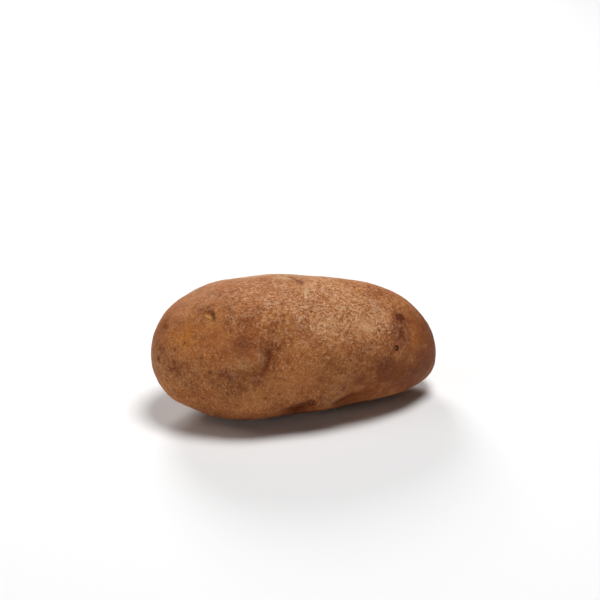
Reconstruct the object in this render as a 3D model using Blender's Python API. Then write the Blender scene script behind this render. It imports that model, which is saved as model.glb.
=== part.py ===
# A russet potato lying on its side: one solid tuber with its lumps, eyes, creases and scars.
# Its length runs along +X, from the bud end at -X to the stem end at +X. The origin is under its
# middle, on the surface that it lies on. Angles round the tuber start at its far side, +Y, and turn
# towards the top, so the top is at 90 degrees, the near side at 180 and the underside at 270.
import math

import bpy
import numpy as np

MM = 0.001

# The body, in millimetres at five stations along it
HALF_LENGTH = 63.8
STATIONS = (-0.8, -0.4, 0.0, 0.4, 0.8)  # shares of the half length
HALF_WIDTHS = (31.5, 34.5, 34.5, 33.0, 30.5)
HALF_HEIGHTS = (31.0, 30.5, 28.5, 27.5, 31.0)
AXIS_HEIGHTS = (1.0, 1.5, 1.5, 0.0, -5.5)
AXIS_SWAYS = (1.5, 0.5, 0.0, 0.5, 1.0)
BUD_END_BLUNTNESS = 2.6  # 2 is an ellipse, more is blunter
STEM_END_BLUNTNESS = 2.2
SECTION_SQUARENESS = 2.15
SIT_DEPTH = 0.5  # how much of the underside is flattened where it rests

# Broad lumps and hollows: station x, angle round, radius, height. A hollow's height is negative.
LUMPS = (
    (-28.0, 212, 13.0, 2.0),  # low on the near side
    (-48.0, 213, 12.0, -1.5),
    (-12.0, 215, 9.0, -1.4),
    (4.0, 216, 9.0, 0.9),
    (13.0, 208, 7.0, -0.8),
    (18.0, 225, 11.0, -1.0),
    (40.0, 215, 12.0, 1.1),
    (57.0, 230, 9.0, -1.2),
    (-33.0, 165, 11.0, 1.2),  # halfway up the near side
    (-27.5, 163, 5.5, 1.0),
    (-15.0, 160, 9.0, -1.3),
    (41.0, 148, 8.0, -1.0),
    (-59.7, 100, 5.0, -0.6),  # along the top
    (-50.0, 68, 12.0, -0.5),
    (-5.0, 68, 10.0, 0.6),
    (15.0, 68, 12.0, -0.7),
    (-25.0, 20, 15.0, -1.0),  # on the far side
    (20.0, 350, 16.0, 0.9),
    (44.0, 30, 12.0, -0.9),
    (12.0, 270, 22.0, 2.0),  # underneath
    (-40.0, 292, 15.0, -0.8),
    (30.0, 318, 13.0, -0.7),
)

# Eyes: station x, angle round, turn, width of the brow, depth, bow of the brow as a share of its width.
# At turn 0 the brow is a crescent across the tuber on the stem side of its bud.
EYES = (
    (3.4, 87, -4, 12.0, 0.9, 0.10),  # along the top
    (-39.8, 120.5, -10, 6.5, 1.2, 0.15),
    (-59.7, 100, 180, 6.0, 0.6, 0.25),
    (43.6, 131.5, -20, 5.5, 0.6, 0.30),  # on the near side
    (41.6, 149, 5, 7.0, 0.7, 0.20),
    (-20.6, 168.5, 13, 13.0, 1.3, 0.13),
    (-3.5, 215, -108, 10.0, 1.9, 0.14),
    (-57.2, 170, 10, 5.5, 0.7, 0.30),
    (-31.0, 42, -6, 9.5, 1.2, 0.26),  # on the far side
    (-9.0, 345, 8, 12.0, 1.3, 0.20),
    (23.0, 22, -4, 10.0, 1.2, 0.26),
    (-58.5, 20, 0, 6.0, 0.8, 0.30),
    (-37.0, 262, 6, 9.0, 1.0, 0.28),  # underneath
    (34.0, 252, -8, 9.0, 1.1, 0.26),
    (46.0, 325, 10, 7.0, 0.9, 0.30),
    (-57.0, 295, -10, 6.0, 0.8, 0.30),
)
EYE_REACH = 1.6  # how far from its centre an eye shapes the skin, as a share of the eye's width
BROW_HALF_SPAN = 0.62  # from the middle of the brow to where it has faded out, as the same share
BROW_STEP = 0.13  # width of the fall under the brow, as the same share
BROW_SPREAD = 1.3  # width of the brow's ridge, as a share of that fall
BROW_RISE = 0.4  # height of the brow, as a share of the eye's depth
HOLLOW_RUN = 0.42  # length over which the hollow fades towards the bud end, as a share of the width
BUD_SETBACK = 0.48  # from the brow to the ridge of buds, as the same share
BUD_THICKNESS = 0.16
BUD_LENGTH = 0.28
BUD_RISE = 0.6  # height of that ridge, as a share of the eye's depth

# Round scars: station x, angle round, radius, depth of the pit, height of the rim
SCARS = (
    (63.8, 0, 2.8, 1.4, 0.4),  # where the stem was, at the very tip
    (37.4, 164, 1.3, 0.6, 0.15),
    (41.9, 132.5, 2.4, 0.5, 0.15),
)
PIT_SPREAD = 0.62  # as a share of the scar's radius
RIM_SPREAD = 0.35

# The slow swell of the whole surface: waves of about these lengths, in all directions
SWELL_SEED = 11
SWELL_WAVES = 14
SWELL_LENGTHS = (16.0, 42.0)
SWELL_HEIGHT = 0.30

SPHERE_SUBDIVISIONS = 7
KEPT_SHARE = 0.11  # of the fine mesh's triangles
CUTTER_SIZE = (200.0, 120.0, 40.0)

SKIN_COLOUR = (0.27, 0.13, 0.065, 1.0)
SKIN_ROUGHNESS = 0.72


def along_body(values, xi):
    """The smooth curve through a value at each station, at shares xi of the half length."""
    return np.polyval(np.polyfit(STATIONS, values, len(STATIONS) - 1), xi)


def section_share(xi):
    """How much of its full section the body has at xi: one in the middle, none at the two tips."""
    bluntness = np.where(xi < 0, BUD_END_BLUNTNESS, STEM_END_BLUNTNESS)
    return np.clip(1 - np.abs(xi) ** bluntness, 0, 1) ** (1 / bluntness)


def body_points(xi, share, angle):
    """Points of the smooth body, in millimetres: a blunted section round a slightly bent axis."""
    across, up = np.cos(angle), np.sin(angle)
    fullness = (np.abs(across) ** SECTION_SQUARENESS + np.abs(up) ** SECTION_SQUARENESS) ** (
        -1 / SECTION_SQUARENESS
    )
    y = along_body(AXIS_SWAYS, xi) + along_body(HALF_WIDTHS, xi) * fullness * across * share
    z = along_body(AXIS_HEIGHTS, xi) + along_body(HALF_HEIGHTS, xi) * fullness * up * share
    return np.stack([HALF_LENGTH * xi, y, z], axis=-1)


def body_from_directions(directions):
    """Carries the points of a unit sphere onto the body."""
    x = directions[:, 0]
    radius = np.hypot(directions[:, 1], directions[:, 2])
    bluntness = np.where(x < 0, BUD_END_BLUNTNESS, STEM_END_BLUNTNESS)
    stretch = (np.abs(x) ** bluntness + radius**bluntness) ** (-1 / bluntness)
    angle = np.arctan2(directions[:, 2], directions[:, 1])
    return body_points(x * stretch, radius * stretch, angle)


def outward(points):
    """Unit vectors out of the body: those of an ellipsoid of the same sizes."""
    xi = np.clip(points[:, 0] / HALF_LENGTH, -1, 1)
    half_width, half_height = along_body(HALF_WIDTHS, xi), along_body(HALF_HEIGHTS, xi)
    out = np.stack(
        [
            points[:, 0] / HALF_LENGTH**2,
            (points[:, 1] - along_body(AXIS_SWAYS, xi)) / half_width**2,
            (points[:, 2] - along_body(AXIS_HEIGHTS, xi)) / half_height**2,
        ],
        axis=-1,
    )
    return out / np.linalg.norm(out, axis=1, keepdims=True)


def place_on_body(x, degrees):
    """The point of the body at station x and that angle round."""
    xi = np.array([x / HALF_LENGTH])
    return body_points(xi, section_share(xi), math.radians(degrees))[0]


def skin_directions(point):
    """Two directions that lie in the skin: towards the stem end and onwards round the tuber."""
    out = outward(point[None])[0]
    onward = np.cross([1.0, 0.0, 0.0], out)
    onward /= np.linalg.norm(onward)
    return np.cross(out, onward), onward


def lump_relief(points, x, degrees, radius, height):
    """A rounded bump that fades over its radius."""
    centre = place_on_body(x, degrees)
    distance = np.linalg.norm(points - centre, axis=1)
    return height * np.exp(-((distance / radius) ** 2))


def smooth_rise(t):
    """Rises smoothly from none at 0 to one at 1."""
    t = np.clip(t, 0, 1)
    return t * t * (3 - 2 * t)


def eye_relief(points, x, degrees, turn, width, depth, bow):
    """A crescent brow with a steep fall on its bud side, a hollow that fades out, and in it a low
    ridge of buds that follows the brow."""
    centre = place_on_body(x, degrees)
    stemward, onward = skin_directions(centre)
    offset = points - centre
    cosine, sine = math.cos(math.radians(turn)), math.sin(math.radians(turn))
    ahead = offset @ (cosine * stemward + sine * onward)
    aside = offset @ (cosine * onward - sine * stemward)
    near = np.linalg.norm(offset, axis=1) < EYE_REACH * width
    past_brow = ahead + bow * width * (2 * aside / width) ** 2
    fade = np.clip(1 - (aside / (BROW_HALF_SPAN * width)) ** 4, 0, 1) ** 2
    step = BROW_STEP * width
    fall = smooth_rise(-past_brow / step) * np.exp(
        -np.clip(-past_brow - step, 0, None) / (HOLLOW_RUN * width)
    )
    brow = BROW_RISE * np.exp(-(((past_brow - 0.5 * step) / (BROW_SPREAD * step)) ** 2))
    bud_distance = np.hypot((past_brow / width + BUD_SETBACK) / BUD_THICKNESS, aside / width / BUD_LENGTH)
    bud = BUD_RISE * np.exp(-(bud_distance**2))
    return np.where(near, depth * (fade * (brow - fall) + bud), 0)


def scar_relief(points, x, degrees, radius, depth, rim):
    """A round pit with a raised rim."""
    centre = place_on_body(x, degrees)
    share = np.linalg.norm(points - centre, axis=1) / radius
    raised = rim * np.exp(-(((share - 1) / RIM_SPREAD) ** 2))
    return raised - depth * np.exp(-((share / PIT_SPREAD) ** 2))


def swell_relief(points):
    """The slow unevenness of the skin: a sum of seeded waves that run in all directions."""
    draw = np.random.default_rng(SWELL_SEED)
    total = np.zeros(len(points))
    for _ in range(SWELL_WAVES):
        heading = draw.normal(size=3)
        heading /= np.linalg.norm(heading)
        wave = 2 * math.pi / draw.uniform(*SWELL_LENGTHS)
        total += np.sin(points @ heading * wave + draw.uniform(0, 2 * math.pi))
    return SWELL_HEIGHT * total / math.sqrt(SWELL_WAVES)


def tuber_points(directions):
    """The whole surface in millimetres, over its resting place."""
    points = body_from_directions(directions)
    relief = swell_relief(points)
    relief += sum(lump_relief(points, *lump) for lump in LUMPS)
    relief += sum(eye_relief(points, *eye) for eye in EYES)
    relief += sum(scar_relief(points, *scar) for scar in SCARS)
    points = points + outward(points) * relief[:, None]
    low, high = points.min(axis=0), points.max(axis=0)
    return points - [(low[0] + high[0]) / 2, (low[1] + high[1]) / 2, low[2] + SIT_DEPTH]


def clear_scene():
    for obj in list(bpy.data.objects):
        bpy.data.objects.remove(obj, do_unlink=True)


def new_collection(name):
    collection = bpy.data.collections.new(name)
    bpy.context.scene.collection.children.link(collection)
    return collection


def move_to(obj, collection):
    for old in list(obj.users_collection):
        old.objects.unlink(obj)
    collection.objects.link(obj)


def skin_material():
    material = bpy.data.materials.new("potato_skin")
    material.use_nodes = True
    shader = material.node_tree.nodes["Principled BSDF"]
    shader.inputs["Base Color"].default_value = SKIN_COLOUR
    shader.inputs["Roughness"].default_value = SKIN_ROUGHNESS
    shader.inputs["Metallic"].default_value = 0.0
    return material


def make_cutter(collection):
    """The block that flattens the underside, with its top face on the resting plane."""
    length, width, height = (size * MM for size in CUTTER_SIZE)
    bpy.ops.mesh.primitive_cube_add(size=1, location=(0, 0, -height / 2))
    cutter = bpy.context.object
    cutter.name = "resting_plane_cutter"
    cutter.scale = (length, width, height)
    bpy.ops.object.transform_apply(location=False, rotation=False, scale=True)
    cutter.hide_render = True
    cutter.display_type = "WIRE"
    move_to(cutter, collection)
    return cutter


def make_potato(collection, cutter):
    """A fine sphere carried onto the tuber's shape, thinned where it is plain, then cut flat below."""
    bpy.ops.mesh.primitive_ico_sphere_add(subdivisions=SPHERE_SUBDIVISIONS, radius=1)
    potato = bpy.context.object
    potato.name = "potato"
    mesh = potato.data
    mesh.name = "potato"
    flat = np.empty(len(mesh.vertices) * 3)
    mesh.vertices.foreach_get("co", flat)
    directions = flat.reshape(-1, 3)
    directions /= np.linalg.norm(directions, axis=1, keepdims=True)
    mesh.vertices.foreach_set("co", (tuber_points(directions) * MM).ravel())
    mesh.update()
    mesh.shade_smooth()
    mesh.materials.append(skin_material())
    thin = potato.modifiers.new("thin_plain_skin", "DECIMATE")
    thin.ratio = KEPT_SHARE
    flatten = potato.modifiers.new("flat_to_rest_on", "BOOLEAN")
    flatten.operation = "DIFFERENCE"
    flatten.solver = "EXACT"
    flatten.object = cutter
    move_to(potato, collection)


clear_scene()
make_potato(new_collection("potato"), make_cutter(new_collection("cutters")))
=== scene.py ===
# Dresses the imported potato: a fine skin worked out by formula, its russet finish, and a plain pale studio.
import math

import bpy
import numpy as np
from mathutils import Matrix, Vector


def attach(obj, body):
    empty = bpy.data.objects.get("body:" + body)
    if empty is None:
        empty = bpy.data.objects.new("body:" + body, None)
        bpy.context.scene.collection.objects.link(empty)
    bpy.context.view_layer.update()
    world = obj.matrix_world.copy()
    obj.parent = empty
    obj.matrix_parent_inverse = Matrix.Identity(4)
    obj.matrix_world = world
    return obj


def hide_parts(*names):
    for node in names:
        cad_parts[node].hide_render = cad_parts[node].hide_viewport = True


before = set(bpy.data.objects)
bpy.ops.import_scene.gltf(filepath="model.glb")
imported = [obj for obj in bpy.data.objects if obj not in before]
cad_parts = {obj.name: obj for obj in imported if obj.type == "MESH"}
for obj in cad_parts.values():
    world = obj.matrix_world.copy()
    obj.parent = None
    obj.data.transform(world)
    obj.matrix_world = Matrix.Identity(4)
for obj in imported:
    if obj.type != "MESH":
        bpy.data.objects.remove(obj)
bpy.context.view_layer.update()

mm = 0.001

# The potato's form in millimetres, the same numbers that its solid is made from.
# x runs from the bud end to the stem end; angles start at the far side and turn towards the top,
# so 90 is the top, 180 the near side and 270 the underside.
potato = {
    "halfLength": 63.8,
    "stations": (-0.8, -0.4, 0.0, 0.4, 0.8),  # shares of the half length
    "halfWidths": (31.5, 34.5, 34.5, 33.0, 30.5),
    "halfHeights": (31.0, 30.5, 28.5, 27.5, 31.0),
    "axisHeights": (1.0, 1.5, 1.5, 0.0, -5.5),
    "axisSways": (1.5, 0.5, 0.0, 0.5, 1.0),
    "budEndBluntness": 2.6,
    "stemEndBluntness": 2.2,
    "squareness": 2.15,
    "sitDepth": 0.5,  # how deep the resting plane cuts into it
    "scatterReach": 0.97,  # share of the half length that scattered marks keep to
    "swell": {"seed": 11, "waves": 14, "lengths": (16.0, 42.0), "height": 0.30},
    "cells": (178, 106, 106),  # of the box whose faces carry the skin
    "lumps": (  # x, angle, radius, height
        (-28.0, 212, 13.0, 2.0),
        (-48.0, 213, 12.0, -1.5),
        (-12.0, 215, 9.0, -1.4),
        (4.0, 216, 9.0, 0.9),
        (13.0, 208, 7.0, -0.8),
        (18.0, 225, 11.0, -1.0),
        (40.0, 215, 12.0, 1.1),
        (57.0, 230, 9.0, -1.2),
        (-33.0, 165, 11.0, 1.2),
        (-27.5, 163, 5.5, 1.0),
        (-15.0, 160, 9.0, -1.3),
        (41.0, 148, 8.0, -1.0),
        (-59.7, 100, 5.0, -0.6),
        (-50.0, 68, 12.0, -0.5),
        (-5.0, 68, 10.0, 0.6),
        (15.0, 68, 12.0, -0.7),
        (-25.0, 20, 15.0, -1.0),
        (20.0, 350, 16.0, 0.9),
        (44.0, 30, 12.0, -0.9),
        (12.0, 270, 22.0, 2.0),
        (-40.0, 292, 15.0, -0.8),
        (30.0, 318, 13.0, -0.7),
    ),
}

# Eyes: x, angle, turn, width, depth, bow; how dark the slit is, partly the eye's own dark skin and partly
# painted shade in its crease; how yellow the buds are
eyes = {
    "places": (
        (3.4, 87, -4, 12.0, 0.9, 0.10, 0.1, 0.0),
        (-39.8, 120.5, -10, 6.5, 1.2, 0.15, 0.0, 1.0),
        (-59.7, 100, 180, 6.0, 0.6, 0.25, 0.3, 0.0),
        (43.6, 131.5, -20, 5.5, 0.6, 0.30, 0.0, 0.0),
        (41.6, 149, 5, 7.0, 0.7, 0.20, 0.3, 0.2),
        (-20.6, 168.5, 13, 13.0, 1.3, 0.13, 0.1, 0.0),
        # the notch near the underside: its slit is painted fully dark, painted shade under its overhanging
        # lip
        (-3.5, 215, -108, 10.0, 1.9, 0.14, 1.0, 0.0),
        (-57.2, 170, 10, 5.5, 0.7, 0.30, 0.3, 0.2),
        (-31.0, 42, -6, 9.5, 1.2, 0.26, 0.1, 0.6),
        (-9.0, 345, 8, 12.0, 1.3, 0.20, 0.2, 0.3),
        (23.0, 22, -4, 10.0, 1.2, 0.26, 0.3, 0.5),
        (-58.5, 20, 0, 6.0, 0.8, 0.30, 0.3, 0.5),
        (-37.0, 262, 6, 9.0, 1.0, 0.28, 0.3, 0.3),
        (34.0, 252, -8, 9.0, 1.1, 0.26, 0.4, 0.2),
        (46.0, 325, 10, 7.0, 0.9, 0.30, 0.3, 0.4),
        (-57.0, 295, -10, 6.0, 0.8, 0.30, 0.3, 0.4),
    ),
    "reach": 1.6,  # everything here is a share of the eye's width or, where it says so, of another value
    "halfSpan": 0.62,
    "step": 0.13,
    "browSpread": 1.3,  # of the step
    "browRise": 0.4,  # of the depth
    "hollowRun": 0.42,
    "budSetback": 0.48,
    "budThickness": 0.16,
    "budLength": 0.28,
    "budRise": 0.6,  # of the depth
    "slitPlace": 0.75,  # of the step, behind the brow
    "slitWidth": 0.8,  # in millimetres
    "slitDepth": 0.35,
}

# Round scars: x, angle, radius, depth, rim
scars = {
    "places": (
        (63.8, 0, 2.8, 1.4, 0.4),
        (37.4, 164, 1.3, 0.6, 0.15),
        (41.9, 132.5, 2.4, 0.5, 0.15),
    ),
    "ring": 1,  # the one of them with a dark ring
    "pitSpread": 0.62,
    "rimSpread": 0.35,
    "tint": 0.45,
}

# Lines and soft bands: x, angle, turn from the body's length, length, width, height, paleness
scratches = {
    "places": (
        (1.3, 107, 107, 10.0, 0.6, 0.18, 1.6),
        (23.4, 111.5, 35, 4.5, 0.5, -0.15, -0.5),
        (-25.0, 160, 95, 4.5, 0.7, 0.22, 0.6),
        (-23.9, 164, 98, 5.5, 0.7, 0.16, 0.45),
        (-20.3, 168, 96, 6.0, 0.6, 0.12, 0.4),
        # dark lines along the middle eye's slit: its dark skin, and painted shade in the crease
        (-19.7, 166, 92, 7.0, 0.5, -0.20, -0.6),
        (-21.2, 163, 97, 14.0, 1.1, -0.10, -0.65),
        (-24.2, 176, 118, 7.0, 1.0, -0.15, -0.60),
        (0.9, 81.5, 64, 7.0, 0.55, -0.12, -0.9),
        (2.1, 90.0, 89, 6.5, 0.55, -0.12, -0.9),
        (-4.5, 82, 10, 9.0, 2.8, 0.0, 0.9),
        (-40.2, 118, 100, 6.0, 0.9, -0.10, -0.60),
        (-41.4, 124, 60, 3.0, 0.9, -0.10, -0.30),
        (43.0, 128, 150, 3.5, 0.9, -0.10, -0.45),
        (41.0, 141, 120, 3.0, 0.5, 0.30, 0.45),
        (43.6, 146, 70, 3.5, 0.5, 0.30, 0.45),
        (40.2, 148, 105, 3.5, 0.5, 0.30, 0.35),
        (43.4, 155, 100, 4.0, 0.5, 0.30, 0.35),
        (42.0, 145, 90, 2.6, 0.7, -0.25, -0.6),
        (42.0, 152, 80, 2.6, 0.7, -0.25, -0.6),
        # the fold below the hump left of the middle eye: relief, and a little painted shade
        (-29.5, 175, 8, 9.0, 1.5, -0.45, -0.2),
        # the notch near the underside, this row and the next: dark strips of painted shade under its
        # overhanging lip
        (-4.6, 215.5, 138, 8.0, 2.4, -0.80, -2.4),
        (-8.5, 219.5, 162, 7.0, 1.9, -0.40, -1.3),
        # a shallow groove near the underside, this row and the next two: relief, with painted shade in it
        (11.0, 220, -60, 5.0, 2.0, -0.50, -1.4),
        (16.0, 217, -26, 8.0, 2.0, -0.60, -0.9),
        (24.0, 211, -28, 9.0, 1.8, -0.20, -0.2),
        (9.1, 209, -30, 8.0, 1.6, 0.35, 0.2),
        (-2.6, 223, -20, 5.0, 0.8, 0.35, 0.3),
        # more painted shade in the notch near the underside
        (-3.8, 212.5, 140, 6.0, 1.5, -0.10, -1.6),
        # a long pale band along the top rim: painted highlight
        (-5.0, 66, 0, 64.0, 6.0, 0.0, 0.75),
        (23.3, 142, 0, 8.0, 3.5, 0.0, 0.5),
        (8.0, 138, 0, 6.0, 3.0, 0.0, 0.3),
        (-31.5, 167, 0, 5.0, 2.5, 0.1, 0.3),
        (7.0, 197, -40, 9.0, 1.6, 0.25, 0.2),
        # a dark strip below the notch: painted shade that joins it to the shade along the underside
        (-6.5, 227, 170, 8.0, 3.0, -0.10, -0.8),
        (-50.0, 172, 60, 5.0, 0.8, 0.12, 0.3),
    ),
    "reach": 1.2,  # of the length
    "seed": 61,
    "count": 26,  # more of them, scattered all over
    "lengths": (2.0, 8.0),
    "widths": (0.4, 0.8),
    "turns": (0, 180),
    "heights": (-0.12, 0.12),
    "paleness": (-0.4, 0.6),
}

# Breathing pores, as small warts and pits: x, angle, radius, height, darkness
pores = {
    "places": (
        (-62.0, 134, 0.9, -0.15, 0.8),
        (-61.2, 140, 0.7, -0.10, 0.7),
        (-57.2, 147, 0.8, 0.08, 0.9),
        (-62.9, 158, 1.2, -0.20, 1.3),
        (-48.8, 138, 0.8, 0.10, 0.5),
        (-41.5, 112, 0.8, -0.30, 0.9),
        (-47.8, 159.5, 0.8, 0.08, 0.8),
        (-46.5, 164.5, 0.6, 0.08, 0.5),
        (-45.1, 174, 0.9, 0.08, 0.9),
        (-47.5, 210, 0.9, 0.10, 0.9),
        (-58.0, 212, 0.8, 0.10, 0.8),
        (-17.0, 195, 0.9, 0.10, 0.9),
        (-22.9, 197, 0.9, 0.10, 0.9),
        (-13.5, 166, 1.1, -0.10, 0.5),
        (29.7, 145, 0.8, -0.12, 0.9),
        (22.5, 158, 0.8, -0.10, 0.7),
        (44.4, 164, 0.6, 0.08, 0.5),
        (47.2, 192, 0.9, -0.12, 0.7),
    ),
    "seed": 37,
    "count": 90,  # more of them, scattered all over
    "radii": (0.7, 1.1),
    "heights": (0.02, 0.10),
    "darkness": (0.0, 0.45),
}

# Coloured or rough areas of the skin: x, angle, radius, strength
areas = {
    "ochre": (
        (-54.6, 130, 5.5, 0.9),
        (-51.0, 139, 4.5, 0.7),
        (48.3, 152, 5.0, 0.7),
        (-8.0, 150, 5.0, 0.3),
        (8.0, 300, 12.0, 0.6),
        (-20.0, 20, 11.0, 0.6),
        (35.0, 60, 9.0, 0.5),
    ),
    # duskAndPaintedShade: dark patches of the skin, and painted shade below the hump and in the fold left of
    # the middle eye
    "duskAndPaintedShade": (
        (-31.2, 152, 5.0, 0.7),
        (-38.0, 189, 6.5, 0.9),
        (-32.5, 180, 5.0, 0.5),
        (-41.0, 173, 5.0, 0.2),
        (-54.0, 186, 6.0, 0.4),
        (3.8, 183, 6.0, 0.5),
        (10.0, 177, 5.0, 0.45),
        (22.0, 170, 6.0, 0.35),
        (14.0, 192, 4.0, 0.5),
        (33.0, 179, 4.5, 0.8),
        (-14.0, 152, 5.5, 0.2),
        (-21.0, 161, 4.0, 0.45),
        (-40.0, 113, 9.0, 0.35),
        (-31.0, 128, 6.0, 0.35),
        (-41.0, 141, 5.0, 0.25),
        (3.0, 211, 6.0, 0.5),
        (-20.0, 143, 6.5, 0.25),
        (-9.0, 141, 5.5, 0.3),
        (-60.5, 150, 4.0, 0.3),
        (50.0, 200, 10.0, 0.4),
        (30.0, 30, 12.0, 0.6),
        (-45.0, 330, 10.0, 0.5),
    ),
    # glowAndPaintedLight: warm pale patches of the skin, and painted light on the lit upper side and on the
    # hump left of the middle eye
    "glowAndPaintedLight": (
        (-8.0, 187, 10.0, 0.6),
        (5.0, 167, 6.0, 0.5),
        (-30.0, 193, 9.0, 0.4),
        (-33.0, 162, 6.0, 0.4),
        (25.0, 136, 10.0, 0.9),
        (23.5, 144, 5.0, 1.1),
        (10.0, 133, 9.0, 0.5),
        (-59.5, 148, 9.0, 0.9),
        (12.0, 184, 6.0, 0.35),
        (36.5, 135, 4.5, 0.7),
        (-35.0, 168, 5.0, 0.5),
        (20.0, 10, 12.0, 0.4),
        (-30.0, 330, 12.0, 0.25),
        (-5.0, 30, 9.0, 0.5),
    ),
    "smooth": (
        (-42.0, 138, 4.0, 0.9),
        (-40.0, 145, 4.0, 0.9),
        (23.3, 144, 4.0, 0.9),
        (36.5, 135, 4.0, 0.6),
        (-42.0, 92, 12.0, 0.3),
        (-30.0, 200, 13.0, 0.35),
        (-12.0, 180, 12.0, 0.4),
        (-48.0, 173, 8.0, 0.4),
        (6.0, 182, 10.0, 0.35),
        (-30.0, 350, 9.0, 0.5),
        (10.0, 40, 7.0, 0.5),
    ),
    "rust": (
        (42.0, 133.5, 3.2, 1.5),
        (40.3, 142, 4.5, 0.9),
        (41.0, 151, 5.5, 1.2),
        (-58.1, 172, 3.2, 1.2),
        (-61.5, 136, 3.0, 0.2),
        (-53.9, 118, 3.5, 0.5),
        (37.4, 164, 2.6, 0.4),
        (63.0, 0, 5.0, 0.8),
        (1.2, 82, 2.0, 0.3),
        (2.0, 89, 2.0, 0.3),
        (-26.5, 181, 2.5, 0.4),
    ),
    "scab": (
        (41.2, 148.5, 5.2, 1.5),
        (-58.1, 171, 3.4, 0.8),
        (-54.6, 166, 3.0, 0.4),
        (-26.7, 181, 2.4, 0.9),
        (33.0, 178, 3.0, 0.4),
        (60.0, 340, 5.0, 0.6),
        (-12.0, 300, 4.0, 0.5),
        (15.0, 12, 4.0, 0.6),
    ),
    # flakyAndPaintedSheen: pale dry flakes, laid thickest on the lit upper near side, where they are partly
    # a painted sheen
    "flakyAndPaintedSheen": (
        (16.0, 117, 15.0, 0.9),
        (-10.0, 122, 15.0, 0.6),
        (27.0, 139, 10.0, 0.8),
        (-20.0, 100, 14.0, 0.45),
        (34.0, 126, 9.0, 0.2),
        (7.0, 132, 11.0, 0.8),
        (-46.0, 86, 12.0, 0.1),
        (10.0, 88, 14.0, 0.5),
        (-10.0, 50, 18.0, 0.7),
        (32.0, 45, 16.0, 0.7),
        (-42.0, 15, 13.0, 0.5),
        (10.0, 350, 18.0, 0.6),
        (42.0, 328, 12.0, 0.4),
        (-15.0, 300, 14.0, 0.3),
    ),
    # umberAndPaintedShade: darker brown, partly the skin's own tone and partly painted shade at the stem end
    # and along the underside
    "umberAndPaintedShade": (
        (60.0, 150, 15.0, 1.0),
        (-60.0, 108, 6.0, 0.7),
        (-42.0, 93, 11.0, 0.25),
        (54.0, 195, 15.0, 0.9),
        (36.0, 206, 11.0, 0.8),
        (22.0, 192, 11.0, 0.55),
        (-31.0, 151.5, 3.8, 0.65),
        (5.0, 170, 5.0, 0.65),
        (-10.0, 139, 3.2, 0.65),
        (-6.0, 143, 3.2, 0.65),
        (-2.5, 148, 3.2, 0.5),
        (-40.5, 150, 2.5, 0.3),
        (-38.0, 158, 2.5, 0.3),
        (-31.0, 153, 9.0, 0.45),
        (-17.0, 146, 8.0, 0.3),
        (31.0, 184, 9.0, 0.4),
        (43.0, 140, 9.0, 0.4),
        (-4.0, 228, 9.0, 0.9),
        (20.0, 225, 9.0, 0.7),
        (-28.0, 229, 13.0, 0.35),
        (58.0, 10, 13.0, 0.5),
        (-10.0, 265, 20.0, 0.4),
        (25.0, 290, 14.0, 0.4),
    ),
    "ragged": ((5.0, 0.6), (2.2, 0.4)),  # cell and share of the noise that frays their edges
    "raggedSeed": 71,
}

# Fine relief over the whole skin: cell and height of each layer; and the ridges of a scab
grain = {
    "sink": 0.10,  # so that the roughened skin stays inside the solid's box
    "layers": ((5.5, 0.10), (2.6, 0.07), (1.3, 0.05)),
    "seed": 23,
    "smoothing": 0.8,  # how much of it a smooth area loses
    "scabCell": 1.5,
    "scabHeight": 0.5,
    "scabSeed": 29,
}


def alongBody(values, xi):
    # the quartic curve through one value at each station
    return np.polyval(np.polyfit(potato["stations"], values, len(values) - 1), xi)


def bluntnessAt(x):
    # one power for the bud half, another for the stem half
    return np.where(x < 0, potato["budEndBluntness"], potato["stemEndBluntness"])


def bodyPoints(xi, share, angle):
    # a squarish ellipse with its place's half width and half height, round an axis that rises and sways
    across, up, power = np.cos(angle), np.sin(angle), potato["squareness"]
    fullness = share * (np.abs(across) ** power + np.abs(up) ** power) ** (-1 / power)
    y = alongBody(potato["axisSways"], xi) + alongBody(potato["halfWidths"], xi) * fullness * across
    z = alongBody(potato["axisHeights"], xi) + alongBody(potato["halfHeights"], xi) * fullness * up
    return np.stack([potato["halfLength"] * xi, y, z], axis=-1)


def placeOnBody(x, degrees):
    # the section shrinks towards both tips as a superellipse does
    xi = np.array([x / potato["halfLength"]])
    power = bluntnessAt(xi)
    share = np.clip(1 - np.abs(xi) ** power, 0, 1) ** (1 / power)
    return bodyPoints(xi, share, math.radians(degrees))[0]


def outward(points):
    # the direction out of an ellipsoid of the same sizes
    xi = np.clip(points[:, 0] / potato["halfLength"], -1, 1)
    out = np.stack([
        points[:, 0] / potato["halfLength"] ** 2,
        (points[:, 1] - alongBody(potato["axisSways"], xi)) / alongBody(potato["halfWidths"], xi) ** 2,
        (points[:, 2] - alongBody(potato["axisHeights"], xi)) / alongBody(potato["halfHeights"], xi) ** 2,
    ], axis=-1)
    return out / np.linalg.norm(out, axis=1, keepdims=True)


def distanceFrom(points, x, degrees):
    # the straight distance to a place on the body
    return np.linalg.norm(points - placeOnBody(x, degrees), axis=1)


def aheadAndAside(points, x, degrees, turn):
    # how far each point lies from a place along a direction in the skin, and how far across it;
    # at turn 0 that direction runs towards the stem end, at turn 90 onwards round the body
    centre = placeOnBody(x, degrees)
    out = outward(centre[None])[0]
    onward = np.cross([1.0, 0.0, 0.0], out)
    onward /= np.linalg.norm(onward)
    stemward = np.cross(out, onward)
    cosine, sine = math.cos(math.radians(turn)), math.sin(math.radians(turn))
    offset = points - centre
    return offset @ (cosine * stemward + sine * onward), offset @ (cosine * onward - sine * stemward)


def bell(distance, radius):
    # one in the middle, falling off as a power of e of the squared distance
    return np.exp(-(distance / radius) ** 2)


def smoothRise(t):
    # from none at 0 to one at 1 with level ends
    t = np.clip(t, 0, 1)
    return t * t * (3 - 2 * t)


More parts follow.
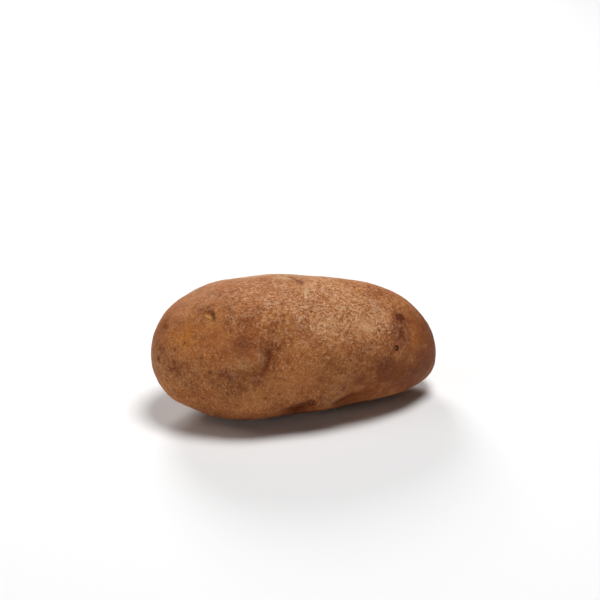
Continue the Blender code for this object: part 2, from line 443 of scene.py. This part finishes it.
def eyeForm(points, x, degrees, turn, width, depth, bow, slitTint, budTint):
    # a crescent brow, a steep fall on its bud side, a hollow that fades out as a power of e, and in it
    # a low ridge of buds that follows the brow; returns the relief, and the masks of hollow, slit and buds
    ahead, aside = aheadAndAside(points, x, degrees, turn)
    near = distanceFrom(points, x, degrees) < eyes["reach"] * width
    pastBrow = ahead + bow * width * (2 * aside / width) ** 2
    fade = np.clip(1 - (aside / (eyes["halfSpan"] * width)) ** 4, 0, 1) ** 2
    step = eyes["step"] * width
    run = np.clip(-pastBrow - step, 0, None) / (eyes["hollowRun"] * width)
    fall = smoothRise(-pastBrow / step) * np.exp(-run)
    brow = eyes["browRise"] * bell(pastBrow - 0.5 * step, eyes["browSpread"] * step)
    fromBuds = (pastBrow / width + eyes["budSetback"]) / eyes["budThickness"]
    bud = bell(np.hypot(fromBuds, aside / width / eyes["budLength"]), 1)
    slit = fade * bell(pastBrow + eyes["slitPlace"] * step, eyes["slitWidth"])
    relief = depth * (fade * (brow - fall) + eyes["budRise"] * bud) - eyes["slitDepth"] * slitTint * slit
    return [np.where(near, values, 0) for values in (relief, fade * fall, slitTint * slit, budTint * bud)]


def scarForm(points, x, degrees, radius, depth, rim):
    # a bell-shaped pit inside a ring; returns the relief, and a mask that is one on the pit's wall
    share = distanceFrom(points, x, degrees) / radius
    relief = rim * bell(share - 1, scars["rimSpread"]) - depth * bell(share, scars["pitSpread"])
    return relief, bell(share - scars["pitSpread"], scars["rimSpread"])


def scratchForm(points, x, degrees, turn, length, width, height, paleness):
    # a bell across the line, faded out towards both ends of it, and none on the far side of the body
    ahead, aside = aheadAndAside(points, x, degrees, turn)
    near = distanceFrom(points, x, degrees) < scratches["reach"] * length
    line = near * bell(ahead, length / 2) * bell(aside, width)
    return height * line, paleness * line


def scatter(draw, count, *ranges):
    # seeded rows: x evenly along the body, angle evenly round it, and a value from each range
    reach = potato["scatterReach"] * potato["halfLength"]
    spans = ((-reach, reach), (0, 360), *ranges)
    return np.stack([draw.uniform(low, high, count) for low, high in spans], axis=-1)


def swellRelief(points):
    # a sum of seeded sine waves that run in all directions
    swell = potato["swell"]
    draw = np.random.default_rng(swell["seed"])
    total = np.zeros(len(points))
    for _ in range(swell["waves"]):
        heading = draw.normal(size=3)
        heading /= np.linalg.norm(heading)
        wave = 2 * math.pi / draw.uniform(*swell["lengths"])
        total += np.sin(points @ heading * wave + draw.uniform(0, 2 * math.pi))
    return swell["height"] * total / math.sqrt(swell["waves"])


def cellNoise(points, cell, seed):
    # seeded values at the corners of a turned cubic grid, blended smoothly between them
    draw = np.random.default_rng(seed)
    turned = points @ np.linalg.qr(draw.normal(size=(3, 3)))[0]
    place = (turned - turned.min(axis=0)) / cell
    corner = np.floor(place).astype(int)
    part = smoothRise(place - corner)
    table = draw.uniform(-1, 1, corner.max(axis=0) + 2)
    total = np.zeros(len(points))
    for step in np.ndindex(2, 2, 2):
        share = np.prod(np.where(step, part, 1 - part), axis=1)
        total += share * table[tuple((corner + step).T)]
    return total


def boxGrid(cells):
    # six flat grids that share the box's edges; every corner has whole-number coordinates
    corners, faces, count = [], [], 0
    for axis in range(3):
        first, second = (axis + 1) % 3, (axis + 2) % 3
        for side in (0, cells[axis]):
            u, v = np.meshgrid(np.arange(cells[first] + 1), np.arange(cells[second] + 1), indexing="ij")
            flat = np.zeros(u.shape + (3,), int)
            flat[..., axis], flat[..., first], flat[..., second] = side, u, v
            index = np.arange(u.size).reshape(u.shape) + count
            quads = np.stack([index[:-1, :-1], index[1:, :-1], index[1:, 1:], index[:-1, 1:]], axis=-1)
            quads = quads.reshape(-1, 4)
            corners.append(flat.reshape(-1, 3))
            faces.append(quads if side else quads[:, ::-1])
            count += u.size
    points, where = np.unique(np.concatenate(corners), axis=0, return_inverse=True)
    return points, where.reshape(-1)[np.concatenate(faces)]


def bodyGrid():
    # the box's grid blown up onto a sphere, and the sphere carried onto the tuber
    lattice, quads = boxGrid(potato["cells"])
    cube = 2 * lattice / np.array(potato["cells"]) - 1
    direction = np.tan(cube * math.pi / 4)
    direction /= np.linalg.norm(direction, axis=1, keepdims=True)
    power = bluntnessAt(direction[:, 0])
    radius = np.hypot(direction[:, 1], direction[:, 2])
    stretch = (np.abs(direction[:, 0]) ** power + radius ** power) ** (-1 / power)
    angle = np.arctan2(direction[:, 2], direction[:, 1])
    return bodyPoints(direction[:, 0] * stretch, radius * stretch, angle), quads


def areaMasks(body):
    # a sum of bells for each kind of area, with edges frayed by noise
    fray = 1 + sum(share * cellNoise(body, cell, areas["raggedSeed"] + i)
                   for i, (cell, share) in enumerate(areas["ragged"]))
    masks = {}
    for kind in ("flakyAndPaintedSheen", "umberAndPaintedShade", "glowAndPaintedLight", "ochre", "duskAndPaintedShade", "smooth", "rust", "scab"):
        blot = sum(strength * bell(distanceFrom(body, x, degrees), radius)
                   for x, degrees, radius, strength in areas[kind])
        masks[kind] = np.clip(blot * fray, 0, 1)
    return masks


def fineRelief(body, masks):
    # scratches, pores, grain and scabs, in millimetres; adds the masks that scratches and pores paint
    draw = np.random.default_rng(scratches["seed"])
    more = scatter(draw, scratches["count"], scratches["turns"], scratches["lengths"],
                   scratches["widths"], scratches["heights"], scratches["paleness"])
    lines = [scratchForm(body, *scratch) for scratch in (*scratches["places"], *more)]
    relief = sum(line[0] for line in lines)
    paleness = sum(line[1] for line in lines)
    masks["pale"] = np.clip(paleness, 0, 1)
    masks["dark"] = np.clip(-paleness, 0, 1)
    draw = np.random.default_rng(pores["seed"])
    more = scatter(draw, pores["count"], pores["radii"], pores["heights"], pores["darkness"])
    masks["pore"] = np.zeros(len(body))
    for x, degrees, radius, height, darkness in (*pores["places"], *more):
        spot = bell(distanceFrom(body, x, degrees), radius)
        relief += height * spot
        masks["pore"] = np.maximum(masks["pore"], darkness * spot)
    for i, (cell, height) in enumerate(grain["layers"]):
        share = 1 - grain["smoothing"] * masks["smooth"]
        relief += height * share * cellNoise(body, cell, grain["seed"] + i)
    ridges = 1 - 2 * np.abs(cellNoise(body, grain["scabCell"], grain["scabSeed"]))
    return relief + grain["scabHeight"] * masks["scab"] * ridges - grain["sink"]


def skinSurface():
    # the body with its reliefs added outwards, set on its resting plane
    body, quads = bodyGrid()
    out = outward(body)
    eyeForms = [eyeForm(body, *place) for place in eyes["places"]]
    scarForms = [scarForm(body, *place) for place in scars["places"]]
    relief = swellRelief(body)
    relief += sum(height * bell(distanceFrom(body, x, degrees), radius)
                  for x, degrees, radius, height in potato["lumps"])
    relief += sum(form[0] for form in eyeForms) + sum(form[0] for form in scarForms)
    points = body + out * relief[:, None]
    low, high = points.min(axis=0), points.max(axis=0)
    shift = np.array([(low[0] + high[0]) / 2, (low[1] + high[1]) / 2, low[2] + potato["sitDepth"]])
    masks = areaMasks(body)
    points += out * fineRelief(body, masks)[:, None] - shift
    points[:, 2] = np.maximum(points[:, 2], 0)
    for i, name in enumerate(("hollow", "slit", "bud")):
        masks[name] = np.clip(sum(form[i + 1] for form in eyeForms), 0, 1)
    masks["slit"] = np.clip(masks["slit"] + scars["tint"] * sum(form[1] for form in scarForms), 0, 1)
    ringCentre = points[np.argmin(distanceFrom(body, *scars["places"][scars["ring"]][:2]))]
    return points * mm, quads, masks, ringCentre * mm


def makeMesh(name, points, quads, masks):
    # each mask becomes an attribute of the mesh, for the material to read
    mesh = bpy.data.meshes.new(name)
    mesh.from_pydata(points, [], quads)
    mesh.update()
    mesh.shade_smooth()
    for mask, values in masks.items():
        layer = mesh.attributes.new(mask, "FLOAT", "POINT")
        layer.data.foreach_set("value", values.astype(np.float32))
    piece = bpy.data.objects.new(name, mesh)
    bpy.context.scene.collection.objects.link(piece)
    return piece


def wire(tree, target, value):
    # a link where the value is another node's socket, otherwise a plain setting
    if isinstance(value, bpy.types.NodeSocket):
        tree.links.new(value, target)
    else:
        target.default_value = value


def mixColour(tree, amount, under, over):
    # under times one minus the amount, plus over times the amount
    node = tree.nodes.new("ShaderNodeMix")
    node.data_type = "RGBA"
    wire(tree, node.inputs[0], amount)
    wire(tree, node.inputs[6], under)
    wire(tree, node.inputs[7], over)
    return node.outputs[2]


def sums(tree, operation, a, b=0.0, clamp=False):
    # one step of arithmetic, kept between none and one if clamped
    node = tree.nodes.new("ShaderNodeMath")
    node.operation = operation
    node.use_clamp = clamp
    wire(tree, node.inputs[0], a)
    wire(tree, node.inputs[1], b)
    return node.outputs[0]


def vectorSums(tree, operation, a, b):
    # the same with vectors
    node = tree.nodes.new("ShaderNodeVectorMath")
    node.operation = operation
    wire(tree, node.inputs[0], a)
    wire(tree, node.inputs[1], b)
    return node.outputs["Value" if operation in ("DOT_PRODUCT", "DISTANCE") else "Vector"]


def rangeOf(tree, value, low, high, toLow=0.0, toHigh=1.0):
    # a smooth rise between two ends as the value goes from low to high
    node = tree.nodes.new("ShaderNodeMapRange")
    node.interpolation_type = "SMOOTHSTEP"
    wire(tree, node.inputs["Value"], value)
    for name, number in (("From Min", low), ("From Max", high), ("To Min", toLow), ("To Max", toHigh)):
        node.inputs[name].default_value = number
    return node.outputs["Result"]


def noise(tree, place, scale, detail, roughness, output="Fac"):
    # octaves of smooth noise, each finer by half and weaker by the roughness
    node = tree.nodes.new("ShaderNodeTexNoise")
    wire(tree, node.inputs["Vector"], place)
    wire(tree, node.inputs["Scale"], scale)
    node.inputs["Detail"].default_value = detail
    node.inputs["Roughness"].default_value = roughness
    return node.outputs[output]


def mask(tree, name, strength):
    # a mask of the mesh, times a strength
    node = tree.nodes.new("ShaderNodeAttribute")
    node.attribute_name = name
    return sums(tree, "MULTIPLY", node.outputs["Fac"], strength)


def colour(red, green, blue):
    # from the 0 to 255 of a picture to the linear values that a shader takes, by the curve of sRGB
    shades = [channel / 255 for channel in (red, green, blue)]
    linear = [((shade + 0.055) / 1.055) ** 2.4 if shade > 0.04045 else shade / 12.92 for shade in shades]
    return (*linear, 1.0)


def flakeGroup():
    # dry flakes of skin: each cell of a warped Voronoi pattern slopes its own way and has its own tone
    group = bpy.data.node_groups.new("dryFlakes", "ShaderNodeTree")
    group.interface.new_socket("Place", in_out="INPUT", socket_type="NodeSocketVector")
    for name in ("Scale", "Warp"):
        group.interface.new_socket(name, in_out="INPUT", socket_type="NodeSocketFloat")
    for name in ("Slope", "Tone", "Edge"):
        group.interface.new_socket(name, in_out="OUTPUT", socket_type="NodeSocketFloat")
    given = group.nodes.new("NodeGroupInput").outputs
    made = group.nodes.new("NodeGroupOutput").inputs
    halfway = (0.5, 0.5, 0.5)  # the mean of a noise's colour, and of a cell's
    drift = noise(group, given["Place"], given["Scale"], detail=1.0, roughness=0.5, output="Color")
    drift = vectorSums(group, "SUBTRACT", drift, halfway)
    node = group.nodes.new("ShaderNodeVectorMath")
    node.operation = "SCALE"
    wire(group, node.inputs[0], drift)
    wire(group, node.inputs["Scale"], given["Warp"])
    place = vectorSums(group, "ADD", given["Place"], node.outputs["Vector"])
    cells = group.nodes.new("ShaderNodeTexVoronoi")
    edges = group.nodes.new("ShaderNodeTexVoronoi")
    edges.feature = "DISTANCE_TO_EDGE"
    for pattern in (cells, edges):
        wire(group, pattern.inputs["Vector"], place)
        wire(group, pattern.inputs["Scale"], given["Scale"])
    lean = vectorSums(group, "SUBTRACT", cells.outputs["Color"], halfway)
    across = vectorSums(group, "SUBTRACT", place, cells.outputs["Position"])
    wire(group, made["Slope"], vectorSums(group, "DOT_PRODUCT", lean, across))
    wire(group, made["Tone"], vectorSums(group, "DOT_PRODUCT", cells.outputs["Color"], (1.0, 0.0, 0.0)))
    wire(group, made["Edge"], edges.outputs["Distance"])
    return group


def flakes(tree, group, place, scale, warp):
    # the group placed with its own scale and warp
    node = tree.nodes.new("ShaderNodeGroup")
    node.node_tree = group
    wire(tree, node.inputs["Place"], place)
    node.inputs["Scale"].default_value = scale
    node.inputs["Warp"].default_value = warp
    return node.outputs


# The finish: colours as a picture shows them; scales in cells per metre, lengths and heights in metres;
# every noise is a scale, a detail and a roughness, and every range a low, a high and what they turn into
skin = {
    "brown": colour(173, 101, 53),
    "tan": colour(190, 121, 66),
    "russet": colour(152, 81, 42),
    "umberAndPaintedShade": colour(116, 53, 19),
    "glowAndPaintedLight": colour(204, 133, 78),
    "ochre": colour(200, 122, 52),
    "duskAndPaintedShade": colour(112, 57, 29),
    "rust": colour(118, 50, 26),
    "scab": colour(164, 104, 70),
    "flake": colour(225, 184, 147),
    "crack": colour(84, 38, 16),
    "pale": colour(220, 179, 133),
    "dark": colour(92, 42, 18),
    "slit": colour(60, 28, 18),
    "bud": colour(234, 176, 92),
    "broadNoise": (42, 2.0, 0.5),
    "mottleNoise": (170, 3.0, 0.65),
    "frayNoise": (1100, 3.0, 0.6),
    "frayRange": (0.34, 0.66),
    "frayLeast": 0.3,  # what the fray leaves of a mask where its noise is low
    "frayMost": 1.5,  # and where it is high
    "tanRange": (0.36, 0.62),
    "russetRange": (0.48, 0.66, 0.0, 0.65),
    "glowRange": (0.46, 0.34, 0.0, 0.45),
    "umberAndPaintedShadeShare": 0.8,
    "mottledAreas": {"glowAndPaintedLight": 0.7, "ochre": 0.75, "duskAndPaintedShade": 0.75},  # shares of their colours
    "raggedAreas": {"rust": 0.9, "scab": 0.3},
    "calmAreas": {"smooth": 0.8, "umberAndPaintedShade": 0.65, "rust": 0.5},  # how far they lose the flakes
    "marks": (  # mask, colour, share, what the fray leaves
        ("pale", "pale", 0.8, 0.3),
        ("dark", "dark", 0.9, 0.5),
        ("pore", "dark", 0.9, 0.5),
        ("hollow", "rust", 0.25, 0.5),
        ("bud", "bud", 1.15, -0.9),
        # the slits' dark colour is partly the eyes' own dark skin and partly painted shade in their creases
        ("slit", "slit", 0.95, 0.65),
    ),
    "coarseFlakes": (900, 0.0008),  # scale and warp
    "fineFlakes": (2000, 0.0004),
    "coarseShare": 0.40,  # of the tone; the fine flakes have the rest
    "contrast": 0.92,
    # on the lit upper side the flakes' extra contrast and paler lift are partly a painted sheen
    "flakyAndPaintedSheenContrast": 0.62,  # more of it where the skin is flaky
    "flakyAndPaintedSheenLift": 0.30,
    "crackTone": 0.20,
    "crackReach": 0.12,  # share of a cell, from its edge
    "coarseSlope": 0.55,
    "fineSlope": 0.90,
    "crackDepth": 0.00006,
    "grainNoise": (2600, 2.0, 0.6),
    "grainHeight": 0.00006,
    "poreScale": 170,
    "poreRadii": (0.03, 0.15),  # its soft edge, and the largest pore, as shares of a pore's own cell
    "poreTone": 0.5,
    "poreHeight": 0.00008,
    "ringRadius": 0.0009,
    "ringWidth": 0.0008,
    "roughness": (0.46, 0.85),
    "specular": 0.16,
    "ior": 1.35,
}


def frayed(tree, amount, fray, least=skin["frayLeast"]):
    # a mask with torn edges: it is more where the noise is high, and less where it is low
    share = rangeOf(tree, fray, *skin["frayRange"], least, skin["frayMost"])
    return sums(tree, "MULTIPLY", amount, share, clamp=True)


def poreMask(tree, place):
    # round dots at the middles of large Voronoi cells, each as wide as its cell's own colour says
    cells = tree.nodes.new("ShaderNodeTexVoronoi")
    wire(tree, cells.inputs["Vector"], place)
    cells.inputs["Scale"].default_value = skin["poreScale"]
    size = vectorSums(tree, "DOT_PRODUCT", cells.outputs["Color"], (skin["poreRadii"][1], 0.0, 0.0))
    return rangeOf(tree, sums(tree, "SUBTRACT", size, cells.outputs["Distance"]), 0.0, skin["poreRadii"][0])


def skinMaterial(ringCentre):
    # browns that drift, areas and marks laid over them by their masks, and a relief of flakes
    material = bpy.data.materials.new("potatoSkin")
    material.use_nodes = True
    tree = material.node_tree
    shader = tree.nodes["Principled BSDF"]
    shader.inputs["Specular IOR Level"].default_value = skin["specular"]
    shader.inputs["IOR"].default_value = skin["ior"]
    place = tree.nodes.new("ShaderNodeTexCoord").outputs["Object"]
    group = flakeGroup()
    coarse = flakes(tree, group, place, *skin["coarseFlakes"])
    fine = flakes(tree, group, place, *skin["fineFlakes"])
    smooth, umberAndPaintedShade, rust = [mask(tree, name, share) for name, share in skin["calmAreas"].items()]
    calm = sums(tree, "MAXIMUM", sums(tree, "MAXIMUM", smooth, umberAndPaintedShade), rust)
    dry = sums(tree, "SUBTRACT", 1.0, calm, clamp=True)
    broad = noise(tree, place, *skin["broadNoise"])
    mottle = noise(tree, place, *skin["mottleNoise"])
    fray = noise(tree, place, *skin["frayNoise"])

    # the ground tone drifts between four browns, with areas of other tones on it; some of these areas are
    # partly painted shade and painted light
    tone = mixColour(tree, rangeOf(tree, broad, *skin["tanRange"]), skin["brown"], skin["tan"])
    tone = mixColour(tree, rangeOf(tree, mottle, *skin["russetRange"]), tone, skin["russet"])
    tone = mixColour(tree, rangeOf(tree, mottle, *skin["glowRange"]), tone, skin["glowAndPaintedLight"])
    # umber areas: partly darker skin, partly painted shade at the stem end and underneath
    tone = mixColour(tree, mask(tree, "umberAndPaintedShade", skin["umberAndPaintedShadeShare"]), tone, skin["umberAndPaintedShade"])
    for name, share in skin["mottledAreas"].items():
        tone = mixColour(tree, frayed(tree, mask(tree, name, share), mottle), tone, skin[name])
    for name, share in skin["raggedAreas"].items():
        tone = mixColour(tree, frayed(tree, mask(tree, name, share), fray), tone, skin[name])

    # every flake is paler or darker than the ground, more so on flaky skin, which on the lit upper side is
    # partly a painted sheen, and cracks are dark
    tint = sums(tree, "ADD", sums(tree, "MULTIPLY", coarse["Tone"], skin["coarseShare"]),
                sums(tree, "MULTIPLY", fine["Tone"], 1 - skin["coarseShare"]))
    contrast = sums(tree, "ADD", skin["contrast"], mask(tree, "flakyAndPaintedSheen", skin["flakyAndPaintedSheenContrast"]))
    swing = sums(tree, "SUBTRACT", tint, 0.5)  # half is the mean of the flakes' tones
    swing = sums(tree, "MULTIPLY", swing, sums(tree, "MULTIPLY", dry, contrast))
    crack = sums(tree, "MULTIPLY", rangeOf(tree, coarse["Edge"], skin["crackReach"], 0.0), dry)
    swing = sums(tree, "SUBTRACT", swing, sums(tree, "MULTIPLY", crack, skin["crackTone"]))
    swing = sums(tree, "ADD", swing, mask(tree, "flakyAndPaintedSheen", skin["flakyAndPaintedSheenLift"]))
    tone = mixColour(tree, sums(tree, "MAXIMUM", swing, 0.0, clamp=True), tone, skin["flake"])
    tone = mixColour(tree, sums(tree, "MULTIPLY", swing, -1.0, clamp=True), tone, skin["crack"])

    # marks: pores, scratches, the hollows, buds and slits of the eyes, the ring of the small scar; the slits
    # and some dark scratches are partly painted shade in creases and under the notch
    pores = poreMask(tree, place)
    tone = mixColour(tree, sums(tree, "MULTIPLY", pores, skin["poreTone"]), tone, skin["dark"])
    for name, look, share, least in skin["marks"]:
        tone = mixColour(tree, frayed(tree, mask(tree, name, share), fray, least), tone, skin[look])
    fromCentre = vectorSums(tree, "DISTANCE", place, tuple(ringCentre))
    fromRing = sums(tree, "ABSOLUTE", sums(tree, "SUBTRACT", fromCentre, skin["ringRadius"]))
    ring = rangeOf(tree, fromRing, skin["ringWidth"], 0.0)
    tone = mixColour(tree, ring, tone, skin["slit"])
    wire(tree, shader.inputs["Base Color"], tone)
    wire(tree, shader.inputs["Roughness"], rangeOf(tree, fine["Tone"], 0.0, 1.0, *skin["roughness"]))

    # the relief that is too fine for the mesh
    slopes = sums(tree, "ADD", sums(tree, "MULTIPLY", coarse["Slope"], skin["coarseSlope"]),
                  sums(tree, "MULTIPLY", fine["Slope"], skin["fineSlope"]))
    slopes = sums(tree, "SUBTRACT", slopes, sums(tree, "MULTIPLY", crack, skin["crackDepth"]))
    fuzz = sums(tree, "MULTIPLY", noise(tree, place, *skin["grainNoise"]), skin["grainHeight"])
    height = sums(tree, "MULTIPLY", sums(tree, "ADD", slopes, fuzz), dry)
    height = sums(tree, "ADD", height, sums(tree, "MULTIPLY", pores, skin["poreHeight"]))
    relief = tree.nodes.new("ShaderNodeBump")
    relief.inputs["Strength"].default_value = 1.0
    relief.inputs["Distance"].default_value = 1.0
    wire(tree, relief.inputs["Height"], height)
    wire(tree, shader.inputs["Normal"], relief.outputs["Normal"])
    return material


points, quads, masks, ringCentre = skinSurface()
potatoSkin = makeMesh("potatoSkin", points, quads, masks)
potatoSkin.data.materials.append(skinMaterial(ringCentre))
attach(potatoSkin, "root")
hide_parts("potato")
print("skin made:", len(points), "points,", len(quads), "quads")

# Sizes in metres, angles in degrees; lights: direction, distance, size, watts
studio = {
    "azimuth": -16.0,
    "elevation": 24.0,
    "distance": 0.85,
    "millimetresPerPixel": 0.4365,
    "aim": (0.0, -0.5, 27.4),  # the point of the potato, in millimetres, that the next line's pixel shows
    "aimPixel": (297.1, 346.3),
    "imageSize": 600,
    "sensor": 36.0,
    "floorSize": 6.0,
    "floorShade": 0.85,
    "floorRoughness": 0.9,
    "air": 0.03,
    "lights": {
        "keyLight": ((0.12, -0.12, 0.98), 1.2, 0.5, 12.2),
        "backLight": ((0.00, 0.86, 0.50), 1.2, 0.5, 8.6),
        "sideLight": ((-0.70, 0.00, 0.70), 1.2, 0.5, 1.2),
        "fillLight": ((-0.90, -0.60, 0.25), 1.2, 0.5, 2.1),
    },
}


def makeFloor():
    # one square round the origin
    half = studio["floorSize"] / 2
    corners = [(-half, -half, 0), (half, -half, 0), (half, half, 0), (-half, half, 0)]
    mesh = bpy.data.meshes.new("floor")
    mesh.from_pydata(corners, [], [(0, 1, 2, 3)])
    floor = bpy.data.objects.new("floor", mesh)
    bpy.context.scene.collection.objects.link(floor)
    material = bpy.data.materials.new("paleFloor")
    material.use_nodes = True
    shader = material.node_tree.nodes["Principled BSDF"]
    shader.inputs["Base Color"].default_value = (*[studio["floorShade"]] * 3, 1)
    shader.inputs["Roughness"].default_value = studio["floorRoughness"]
    mesh.materials.append(material)


def softLight(name, direction, distance, size, watts):
    # a round lamp that looks at the origin
    lamp = bpy.data.lights.new(name, "AREA")
    lamp.shape = "DISK"
    lamp.size = size
    lamp.energy = watts
    light = bpy.data.objects.new(name, lamp)
    way = Vector(direction).normalized()
    light.location = way * distance
    light.rotation_euler = way.to_track_quat("Z", "Y").to_euler()
    bpy.context.scene.collection.objects.link(light)


def makeCamera():
    # turned to its azimuth and elevation, slid sideways and tilted until the aim stands on its pixel
    azimuth, elevation = math.radians(studio["azimuth"]), math.radians(studio["elevation"])
    middle = studio["imageSize"] / 2
    scale = studio["millimetresPerPixel"] * mm
    across = (studio["aimPixel"][0] - middle) * scale
    tilt = math.atan((studio["aimPixel"][1] - middle) * scale / studio["distance"])
    level = math.cos(elevation)
    back = np.array([math.sin(azimuth) * level, -math.cos(azimuth) * level, math.sin(elevation)])
    right = np.array([math.cos(azimuth), math.sin(azimuth), 0])
    lens = bpy.data.cameras.new("camera")
    lens.sensor_width = studio["sensor"]
    lens.lens = studio["sensor"] * studio["distance"] / (studio["imageSize"] * scale)
    camera = bpy.data.objects.new("camera", lens)
    camera.location = np.array(studio["aim"]) * mm + back * studio["distance"] - right * across
    camera.rotation_euler = (math.pi / 2 - elevation + tilt, 0, azimuth)
    bpy.context.scene.collection.objects.link(camera)
    bpy.context.scene.camera = camera


makeFloor()
for name, settings in studio["lights"].items():
    softLight(name, *settings)
makeCamera()
world = bpy.data.worlds.new("studioAir")
bpy.context.scene.world = world
world.use_nodes = True
world.node_tree.nodes["Background"].inputs["Color"].default_value = (1, 1, 1, 1)
world.node_tree.nodes["Background"].inputs["Strength"].default_value = studio["air"]
bpy.context.scene.view_settings.view_transform = "Standard"
print("studio ready")
